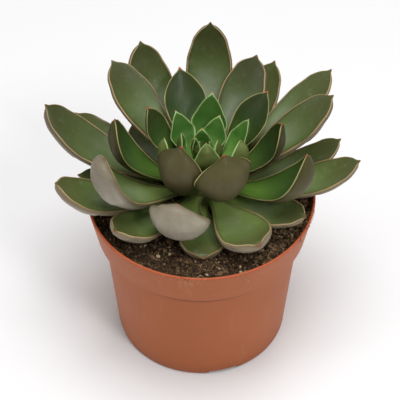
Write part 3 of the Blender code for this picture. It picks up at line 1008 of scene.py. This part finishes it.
def cutter_object():
    """Nine round pegs for the drain holes and four blocks for the foot notches."""
    bm = bmesh.new()
    angles = np.radians(FIRST_HOLE + 360.0 / HOLE_COUNT * np.arange(HOLE_COUNT))
    places = [(HOLE_DISTANCE_MM * math.cos(a), HOLE_DISTANCE_MM * math.sin(a)) for a in angles]
    for x, y in [(0.0, 0.0)] + places:
        peg = bmesh.ops.create_cone(
            bm, cap_ends=True, segments=28, radius1=HOLE_RADIUS, radius2=HOLE_RADIUS, depth=HOLE_CUT
        )
        spot = Vector((x * MM, y * MM, FLOOR_Z + WALL / 2.0))
        bmesh.ops.translate(bm, verts=peg["verts"], vec=spot)
    for quarter in range(4):
        turn = math.radians(FIRST_NOTCH + 90.0 * quarter)
        block = bmesh.ops.create_cube(bm, size=1.0)
        for vert in block["verts"]:
            lean = NOTCH_TAPER if vert.co.z > 0.0 else 1.0
            x = BASE_R + vert.co.x * NOTCH_DEEP
            y, z = vert.co.y * NOTCH_WIDE * lean, vert.co.z * NOTCH_TALL
            turned_x = x * math.cos(turn) - y * math.sin(turn)
            turned_y = x * math.sin(turn) + y * math.cos(turn)
            vert.co = (turned_x, turned_y, z)
    mesh = bpy.data.meshes.new("cutter")
    bm.to_mesh(mesh)
    bm.free()
    tool = bpy.data.objects.new("cutter", mesh)
    scene_items.link(tool)
    return tool


tool = cutter_object()
print("cutter faces:", len(tool.data.polygons))


# %% Cut the pot
def as_plain_mesh(obj, name):
    """The object as its modifiers make it, as a mesh of its own."""
    graph = bpy.context.evaluated_depsgraph_get()
    made = obj.evaluated_get(graph)
    mesh = bpy.data.meshes.new_from_object(made, preserve_all_data_layers=True, depsgraph=graph)
    mesh.name = name
    return mesh


SHARP_EDGE = 32.0
blank = bpy.data.objects.new("pot_blank", pot_turned)
scene_items.link(blank)
cut = blank.modifiers.new("cut", "BOOLEAN")
cut.object, cut.operation, cut.solver = tool, "DIFFERENCE", "EXACT"
pot_mesh = as_plain_mesh(blank, "pot_shell")
bpy.data.objects.remove(blank)
bpy.data.objects.remove(tool)
pot_mesh.shade_smooth()
pot_mesh.set_sharp_from_angle(angle=math.radians(SHARP_EDGE))
place_piece("pot_shell", pot_mesh, slot_of["pot"], "pot")
print("pot faces:", len(pot_mesh.polygons))

# %% [markdown]
# ## Pot finish
# Terracotta-coloured plastic is matte with a soft sheen. The mould leaves very faint rings, and
# handling leaves pale scuffs, fine scratches and dried dust, most of it on the collar and rim. All
# of it is noise: stretched upwards it makes rubbed streaks, and stretched sideways it makes scuffs
# that run round. Heights on the pot say where dust and the redder lip are, and where a painted
# shade darkens the corner under the collar.

# %% Pot colour
POT, tree, shader = new_material("pot_plastic", 0.5, Specular_IOR_Level=0.28)
place = object_place(tree)
height = add_node(tree, "ShaderNodeSeparateXYZ", {"Vector": place}).outputs["Z"]


def wear_and_shade(under, amount, mask, tint):
    """Lays a tint, of wear and of painted shade, over the pot's colour where a mask is, as strong
    as the amount.
    """
    return blend_colours(tree, times(tree, mask, amount), under, colour(*tint))


def stretched_place(*scale):
    return add_node(tree, "ShaderNodeMapping", {"Vector": place, "Scale": scale}).outputs[0]


broad = speckle(tree, place, 26.0, 4.0)
body = blend_colours(tree, broad, colour(160, 85, 43), colour(170, 95, 52))
# the lip is redder, and rubbed streaks run up and scuffs run round
body = wear_and_shade(body, 0.75, fade(tree, height, POT_H - WALL, POT_H - 0.4 * MM), (172, 80, 46))
streaks = fade(tree, speckle(tree, stretched_place(1.0, 1.0, 0.18), 150.0, 4.0), 0.60, 0.78)
body = wear_and_shade(body, 0.16, streaks, (196, 134, 102))
scuffs = fade(tree, speckle(tree, stretched_place(0.25, 0.25, 1.0), 330.0, 3.0), 0.66, 0.76)
body = wear_and_shade(body, 0.16, scuffs, (204, 150, 120))
# dried dust lies on the collar
high = times(tree, dust(tree, 0.22, 700.0), fade(tree, height, 70.0 * MM, 94.0 * MM))
body = blend_colours(tree, high, body, colour(196, 166, 140))
# painted shade: a dark band in the corner under the collar, where its overhang shadows the body
above = fade(tree, height, SHOULDER_Z - 2.4 * MM, SHOULDER_Z)
below = fade(tree, height, COLLAR_Z, SHOULDER_Z + 3.4 * MM)
body = wear_and_shade(body, 0.62, times(tree, above, below), (92, 48, 30))
body = wear_and_shade(body, 0.25, fade(tree, height, 10.0 * MM, 0.0), (120, 62, 42))
tree.links.new(body, shader.inputs["Base Color"])
print("pot colour nodes:", len(tree.nodes))

# %% Pot sheen and surface
MOULD_RINGS = 5200.0
POT_BUMP = 0.09 * MM

dull = between(tree, 0.44, 0.16, speckle(tree, place, 60.0))
tree.links.new(calc(tree, "ADD", dull, times(tree, scuffs, 0.10)), shader.inputs["Roughness"])
rings = calc(tree, "SINE", times(tree, height, MOULD_RINGS))
grain = calc(tree, "ADD", speckle(tree, place, 1800.0, 2.0), times(tree, rings, 0.06))
waves = times(tree, speckle(tree, place, 45.0, 2.0), 3.0)
raised(tree, shader, calc(tree, "ADD", grain, waves), POT_BUMP, 0.6)
pot_mesh.materials.append(POT)
print("mould rings are", round(2.0 * math.pi / MOULD_RINGS / MM, 2), "mm apart")

# %% [markdown]
# ## Soil
# The root ball fills the pot to a few millimetres below the rim. Its surface is lumpy peat, so a
# fine disc is pushed up and down by noise of several sizes and closed underneath. A Displace
# modifier could do it, but a height worked out in code can also fall away at the wall, and it
# says where the root hairs start.

# %% Soil body
SOIL_TOP = 88.4 * MM
SOIL_R = 57.6 * MM
SOIL_AROUND = 176
SOIL_RINGS = 58
EDGE_START_MM = 54.5
# the hidden side of the ball, from the wall down to the floor: radius and height in millimetres
SOIL_SIDE = ((56.6, 84.0), (54.4, 75.5), (50.4, 69.0), (44.6, 8.0), (43.2, 5.4))
soil_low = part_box("soil")[0]


def soil_height(x, y):
    """Height of the surface: a low mound, soft lumps, crumbs and a drop at the wall."""
    radius = math.hypot(x, y)
    mound = 0.8 * math.cos(math.pi * min(radius / (58.0 * MM), 1.0) / 2.0)
    spot = Vector((x / MM, y / MM, 0.0))
    lumps = 0.85 * noise.noise(spot * 0.11) + 0.55 * noise.noise(spot * 0.29)
    crumbs = 0.45 * noise.noise(spot * 0.75) + 0.30 * abs(noise.noise(spot * 1.9))
    edge = 0.9 * max(0.0, (radius / MM - EDGE_START_MM) / 3.0) ** 2
    return SOIL_TOP + (mound + lumps + crumbs - edge) * MM


points = []
for row in range(1, SOIL_RINGS + 1):
    radius = SOIL_R * row / SOIL_RINGS
    for i in range(SOIL_AROUND):
        turn = 2.0 * math.pi * (i + 0.5 * (row % 2)) / SOIL_AROUND
        x, y = radius * math.cos(turn), radius * math.sin(turn)
        points.append((x, y, soil_height(x, y)))
side = [(r * MM, z * MM) for r, z in SOIL_SIDE]
points += turned_points(side, SOIL_AROUND, lambda turn, z: 0.0)
soil_middle, soil_foot = (0.0, 0.0, soil_height(0.0, 0.0)), (0.0, 0.0, soil_low.z)
soil_mesh = closed_tube("soil_ball", points, SOIL_AROUND, soil_middle, soil_foot)
place_piece("soil_ball", soil_mesh, slot_of["soil"], "soil")
print("soil corners:", len(soil_mesh.vertices))

# %% [markdown]
# ## Crumbs, grit and roots
# Loose bits lie all over the soil: dark peat crumbs, tan sand, pale grit and a few thin roots.
# They repeat by the hundred, so Geometry Nodes scatter them: points are dealt over a surface, a
# random bit is put on each, turned and scaled, and the result is realised as plain mesh. Every
# kind uses the same tree with other values. The bits are small, so a grain has twenty faces and a
# root thirty.

# %% Shapes of the loose bits
ROOT_STEPS = 8
ROOT_THICKNESS = 0.035
CRUMB_HEIGHT, CHIP_HEIGHT = 0.8, 0.55


def bits_collection(name, meshes):
    """Hidden originals for the scatter to copy."""
    collection = bpy.data.collections.new(name)
    bpy.context.scene.collection.children.link(collection)
    for number, mesh in enumerate(meshes):
        collection.objects.link(bpy.data.objects.new(f"{name}_{number}", mesh))
    return collection


def grain_mesh(number, squash):
    """A twenty-sided crumb, one unit across, knocked out of shape."""
    bm = bmesh.new()
    bmesh.ops.create_icosphere(bm, subdivisions=1, radius=0.5)
    shake = random.Random(100 + number)
    for vert in bm.verts:
        vert.co *= 0.72 + 0.5 * shake.random()
        vert.co.z *= squash
    mesh = bpy.data.meshes.new("grain")
    bm.to_mesh(mesh)
    bm.free()
    return mesh


def root_mesh(number):
    """A thin bent root, one unit long: a three-sided tube on a wandering line."""
    shake = random.Random(200 + number)
    bend, kink = shake.uniform(-0.5, 0.5), shake.uniform(2.0, 6.0)
    line = []
    for i in range(ROOT_STEPS + 1):
        t = i / ROOT_STEPS - 0.5
        sway = bend * t * t * 2.0 + 0.05 * math.sin(kink * t * 3.0)
        line.append(Vector((t, sway, 0.10 * math.cos(kink * t))))
    points = []
    for spot in line:
        for corner in range(3):
            turn = 2.0 * math.pi * corner / 3.0
            points.append(spot + Vector((0.0, math.cos(turn), math.sin(turn))) * ROOT_THICKNESS)
    return closed_tube("root", points, 3, line[0], line[-1])


CRUMBS = bits_collection("crumbs", [grain_mesh(i, CRUMB_HEIGHT) for i in range(6)])
CHIPS = bits_collection("chips", [grain_mesh(20 + i, CHIP_HEIGHT) for i in range(6)])
ROOTS = bits_collection("roots", [root_mesh(i) for i in range(7)])

# %% The scatter tree
def scatter_tree():
    """The node tree that deals bits over a surface. Every size in it is a named input."""
    tree = bpy.data.node_groups.new("scatter_bits", "GeometryNodeTree")
    face = tree.interface
    face.new_socket(name="Surface", in_out="INPUT", socket_type="NodeSocketGeometry")
    for label, kind in (
        ("Bits", "NodeSocketCollection"),
        ("Density", "NodeSocketFloat"),
        ("Smallest", "NodeSocketFloat"),
        ("Largest", "NodeSocketFloat"),
        ("Tilt", "NodeSocketFloat"),
        ("Seed", "NodeSocketInt"),
        ("Material", "NodeSocketMaterial"),
    ):
        face.new_socket(name=label, in_out="INPUT", socket_type=kind)
    face.new_socket(name="Geometry", in_out="OUTPUT", socket_type="NodeSocketGeometry")
    given = tree.nodes.new("NodeGroupInput").outputs
    out = tree.nodes.new("NodeGroupOutput")
    dealt = add_node(
        tree,
        "GeometryNodeDistributePointsOnFaces",
        {"Mesh": given["Surface"], "Density": given["Density"], "Seed": given["Seed"]},
    )
    bits = add_node(
        tree,
        "GeometryNodeCollectionInfo",
        {"Collection": given["Bits"], "Separate Children": True, "Reset Children": True},
    )
    most = {"X": given["Tilt"], "Y": given["Tilt"], "Z": 2.0 * math.pi}
    lean = add_node(tree, "ShaderNodeCombineXYZ", most)
    spin = add_node(tree, "FunctionNodeRandomValue", data_type="FLOAT_VECTOR")
    tree.links.new(lean.outputs[0], spin.inputs[1])
    tree.links.new(given["Seed"], spin.inputs["Seed"])
    size = add_node(tree, "FunctionNodeRandomValue", data_type="FLOAT")
    tree.links.new(given["Smallest"], size.inputs[2])
    tree.links.new(given["Largest"], size.inputs[3])
    tree.links.new(given["Seed"], size.inputs["Seed"])
    copies = add_node(
        tree,
        "GeometryNodeInstanceOnPoints",
        {
            "Points": dealt.outputs["Points"],
            "Instance": bits.outputs[0],
            "Pick Instance": True,
            "Rotation": spin.outputs[0],
            "Scale": size.outputs[1],
        },
    )
    real = add_node(tree, "GeometryNodeRealizeInstances", {"Geometry": copies.outputs["Instances"]})
    finish = {"Geometry": real.outputs[0], "Material": given["Material"]}
    painted = add_node(tree, "GeometryNodeSetMaterial", finish)
    tree.links.new(painted.outputs[0], out.inputs["Geometry"])
    return tree


SCATTER = scatter_tree()
print("scatter tree nodes:", len(SCATTER.nodes))


# %% Use of the scatter tree
def scatter(name, surface, slot, **values):
    """Deals bits over a surface mesh and places the result as one plain piece."""
    holder = bpy.data.objects.new(name + "_holder", surface)
    scene_items.link(holder)
    modifier = holder.modifiers.new("scatter", "NODES")
    modifier.node_group = SCATTER
    for item in SCATTER.interface.items_tree:
        if item.in_out == "INPUT" and item.name in values:
            modifier[item.identifier] = values[item.name]
    mesh = as_plain_mesh(holder, name)
    bpy.data.objects.remove(holder)
    mesh.shade_flat()
    print(name, "faces:", len(mesh.polygons))
    return place_piece(name, mesh, slot)


# %% [markdown]
# The bits are dealt only where they can lie: on the open top of the soil, not on its hidden sides.
# A copy of the soil's top is that surface, and a narrow ring of it next to the wall is another.

# %% Surfaces to deal bits on
LOWEST_OPEN = 86.2 * MM
NO_LIMIT = -1.0


def soil_band(inner, outer, left=NO_LIMIT):
    """The part of the soil's top between two radii and right of a line, as a mesh."""
    bm = bmesh.new()
    bm.from_mesh(soil_mesh)
    gone = []
    for corner_face in bm.faces:
        middle = corner_face.calc_center_median()
        radius = math.hypot(middle.x, middle.y)
        if not inner <= radius <= outer or middle.z < LOWEST_OPEN or middle.x < left:
            gone.append(corner_face)
    bmesh.ops.delete(bm, geom=gone, context="FACES")
    mesh = bpy.data.meshes.new("band")
    bm.to_mesh(mesh)
    bm.free()
    return mesh


OPEN_SOIL = soil_band(14.0 * MM, 57.2 * MM)
DRY_SOIL = soil_band(30.0 * MM, 57.2 * MM, 26.0 * MM)
INNER_SOIL = soil_band(14.0 * MM, 50.0 * MM)
WALL_RING = soil_band(44.0 * MM, 51.5 * MM)
for band in (OPEN_SOIL, DRY_SOIL, INNER_SOIL, WALL_RING):
    print("faces to deal on:", len(band.polygons))

# %% [markdown]
# Each kind of bit is a mix of two colours, and no grain is quite like the next. Peat is nearly
# black when damp and brown when dry, sand is tan, grit is pale and roots are reddish brown.

# %% Materials of the bits
BIT_BUMP = 0.1 * MM


def bit_material(name, first, second, roughness, scale):
    material, tree, shader = new_material(name, roughness, Specular_IOR_Level=0.2)
    place = object_place(tree)
    mask = fade(tree, speckle(tree, place, scale, 2.0), 0.36, 0.64)
    mixed = blend_colours(tree, mask, colour(*first), colour(*second))
    tree.links.new(mixed, shader.inputs["Base Color"])
    raised(tree, shader, speckle(tree, place, 3000.0, 3.0), BIT_BUMP)
    return material


PEAT = bit_material("peat_crumbs", (34, 25, 17), (78, 60, 42), 0.95, 380.0)
CLODS = bit_material("peat_clods", (44, 33, 23), (112, 88, 62), 0.95, 240.0)
SAND = bit_material("sand_grains", (88, 68, 46), (150, 124, 90), 0.85, 420.0)
GRIT = bit_material("pale_grit", (138, 118, 88), (182, 164, 132), 0.8, 300.0)
FIBRE = bit_material("root_fibres", (64, 46, 34), (142, 112, 80), 0.9, 160.0)

print("bit materials:", ", ".join(kind.name for kind in (PEAT, CLODS, SAND, GRIT, FIBRE)))

# %% [markdown]
# The ground between the bits is dark peat with sand in it. It has dried out more towards one side,
# where the sand shows paler.

# %% Soil material
DRY_FROM, DRY_TO = 5.0 * MM, 45.0 * MM
SOIL_BUMP = 0.7 * MM

SOIL, tree, shader = new_material("potting_soil", 0.95, Specular_IOR_Level=0.15)
place = object_place(tree)
damp = speckle(tree, place, 260.0, 5.0, 0.7)
dark = blend_colours(tree, damp, colour(26, 19, 13), colour(78, 60, 42))
sandy = times(tree, fade(tree, speckle(tree, place, 620.0, 3.0, 0.7), 0.52, 0.66), 0.75)
to_the_right = add_node(tree, "ShaderNodeSeparateXYZ", {"Vector": place}).outputs["X"]
dry = between(tree, 0.45, 0.9, fade(tree, to_the_right, DRY_FROM, DRY_TO))
ground = blend_colours(tree, times(tree, sandy, dry), dark, colour(124, 100, 70))
tree.links.new(ground, shader.inputs["Base Color"])
raised(tree, shader, speckle(tree, place, 900.0, 6.0, 0.7), SOIL_BUMP)
soil_mesh.materials.append(SOIL)
print("soil material nodes:", len(tree.nodes))

# %% [markdown]
# Now the bits are dealt, a row of the table for each kind. Density counts bits to a square metre,
# so 100 000 of them are one to ten square millimetres. Crumbs may lie any way round, while roots
# keep nearly flat.

# %% Deal the bits
ANY_WAY, NEARLY_FLAT = 2.0 * math.pi, 0.5
# name: surface, bits, material, density, smallest and largest in millimetres, tilt, seed
BITS = {
    "soil_crumbs": (OPEN_SOIL, CRUMBS, PEAT, 2.2e5, 0.8, 3.0, ANY_WAY, 7),
    "soil_lumps": (OPEN_SOIL, CRUMBS, CLODS, 3.4e4, 2.0, 4.2, ANY_WAY, 5),
    "dry_sand": (DRY_SOIL, CHIPS, SAND, 1.1e6, 0.5, 1.6, ANY_WAY, 9),
    "soil_sand": (OPEN_SOIL, CHIPS, SAND, 3.4e5, 0.4, 1.5, ANY_WAY, 11),
    "soil_grit": (OPEN_SOIL, CHIPS, GRIT, 2.4e4, 1.0, 2.6, ANY_WAY, 16),
    "soil_roots": (INNER_SOIL, ROOTS, FIBRE, 9.0e3, 4.0, 9.0, NEARLY_FLAT, 23),
    "rim_roots": (WALL_RING, ROOTS, FIBRE, 5.0e4, 3.0, 8.0, NEARLY_FLAT, 29),
}
for name, (surface, bits, material, density, smallest, largest, tilt, seed) in BITS.items():
    sizes = {"Density": density, "Smallest": smallest * MM, "Largest": largest * MM, "Tilt": tilt}
    scatter(name, surface, "potting_soil", Bits=bits, Material=material, Seed=seed, **sizes)
print("kinds of loose bits:", len(BITS))

# %% [markdown]
# A few root hairs have been pushed up to the wall. They lie over the lip and hang outside it. Each
# is a thin tube drawn on a line that goes up the inside, over the lip and down the outside. They
# could be curves with a bevel, but the tube helper closes the ends and flattens them a little.

# %% Root hairs over the lip
HAIR_STEPS, HAIR_CORNERS = 26, 5
HAIR_FLATNESS = 0.7
HAIR_DRIFT = 2.2


def hair_over_lip(name, azimuth, hang, thickness, material):
    """A hair at an angle in degrees round the pot, hanging so many millimetres below the lip."""
    lip = RIM_R - WALL / 2.0
    path = [(lip - 4.5 * MM, SOIL_TOP - 0.5 * MM), (lip - 1.6 * MM, POT_H - 1.2 * MM)]
    path.append((lip, POT_H + 0.3 * MM))
    lean = (RIM_R - COLLAR_R) / (POT_H - COLLAR_Z)
    for drop, gap in ((0.8, 0.35), (0.5 * hang + 0.6, 0.5), (hang, 0.2)):
        path.append((RIM_R - lean * drop * MM + gap * MM, POT_H - drop * MM))
    steps = np.linspace(0.0, len(path) - 1.0, HAIR_STEPS)
    line = through(np.arange(float(len(path))), np.array(path), steps)
    points = []
    for step, (radius, z) in zip(steps, line):
        drift = math.radians(azimuth + HAIR_DRIFT * math.sin(1.3 * step + azimuth))
        outward = np.array([math.cos(drift), math.sin(drift), 0.0])
        spot = outward * radius + np.array([0.0, 0.0, z])
        around = np.array([-math.sin(drift), math.cos(drift), 0.0])
        for corner in range(HAIR_CORNERS):
            turn = 2.0 * math.pi * corner / HAIR_CORNERS
            side = around * math.cos(turn) + outward * math.sin(turn) * HAIR_FLATNESS
            points.append(spot + thickness * side)
    first_end, last_end = (points[0] + points[2]) / 2.0, (points[-1] + points[-3]) / 2.0
    mesh = closed_tube(name, points, HAIR_CORNERS, first_end, last_end)
    mesh.materials.append(material)
    return place_piece(name, mesh, "potting_soil")


# name: angle round the pot, how far it hangs and how thick it is in millimetres, and its material
HAIRS = {
    "hair_a": (-31.0, 4.5, 0.16, FIBRE),
    "hair_b": (-14.0, 6.0, 0.14, FIBRE),
    "hair_c": (-23.0, 2.6, 0.12, FIBRE),
    "hair_d": (-98.0, 2.0, 0.12, FIBRE),
    "hair_e": (-68.0, 9.5, 0.13, GRIT),
}
for name, (azimuth, hang, thickness, material) in HAIRS.items():
    hair = hair_over_lip(name, azimuth, hang, thickness * MM, material)
    print(name, "corners:", len(hair.data.vertices))

# %% [markdown]
# ## Finish
# The originals that the scatter copied aren't pieces, so they go.

# %% Put the originals away
for collection in (CRUMBS, CHIPS, ROOTS):
    for original in list(collection.objects):
        bpy.data.objects.remove(original)
    bpy.data.collections.remove(collection)
print("objects left in the scene:", len(scene_items))
